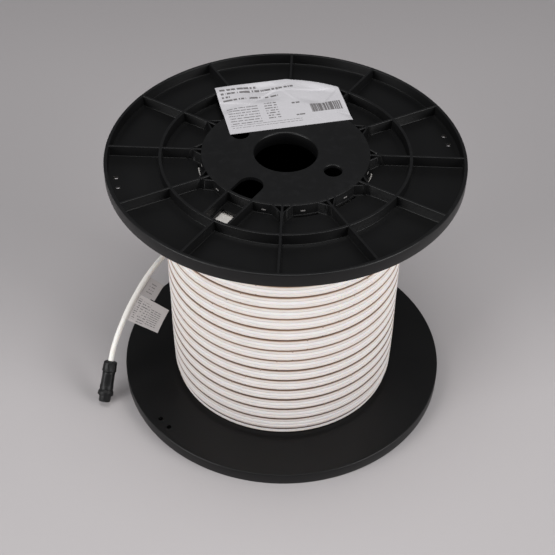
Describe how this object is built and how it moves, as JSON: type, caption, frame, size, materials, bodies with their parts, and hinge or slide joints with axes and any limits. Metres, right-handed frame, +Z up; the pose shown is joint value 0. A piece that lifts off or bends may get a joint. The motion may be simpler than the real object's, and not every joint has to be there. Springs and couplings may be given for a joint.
{
  "type": "led neon flex",
  "caption": "Black plastic reel standing on its flange, wound with white square silicone neon flex, with a lead cable, a round connector and paper labels.",
  "frame": {"origin": "On the floor, on the axis of the reel, at the middle of the lower flange's face", "axes": "+Z up along the reel's axis, -Y towards the front of the picture, +X to its right, so that the lead cable hangs down at -X"},
  "size_m": [0.321, 0.2998, 0.2527],
  "materials": {
    "black_plastic": "satin moulded black plastic",
    "white_silicone": "smooth milky white silicone",
    "white_sheath": "smooth white cable sheath",
    "white_paper": "matt white paper"
  },
  "bodies": {
    "root": {"flange_top": "black_plastic", "flange_bottom": "black_plastic", "core_drum": "black_plastic", "neon_flex": "white_silicone", "flex_end_cap": "white_silicone", "lead_cable": "white_sheath", "connector_nut": "black_plastic", "connector_body": "black_plastic", "cable_flag_upper": "white_paper", "cable_flag_lower": "white_paper", "reel_label": "white_paper"}
  },
  "joints": []
}
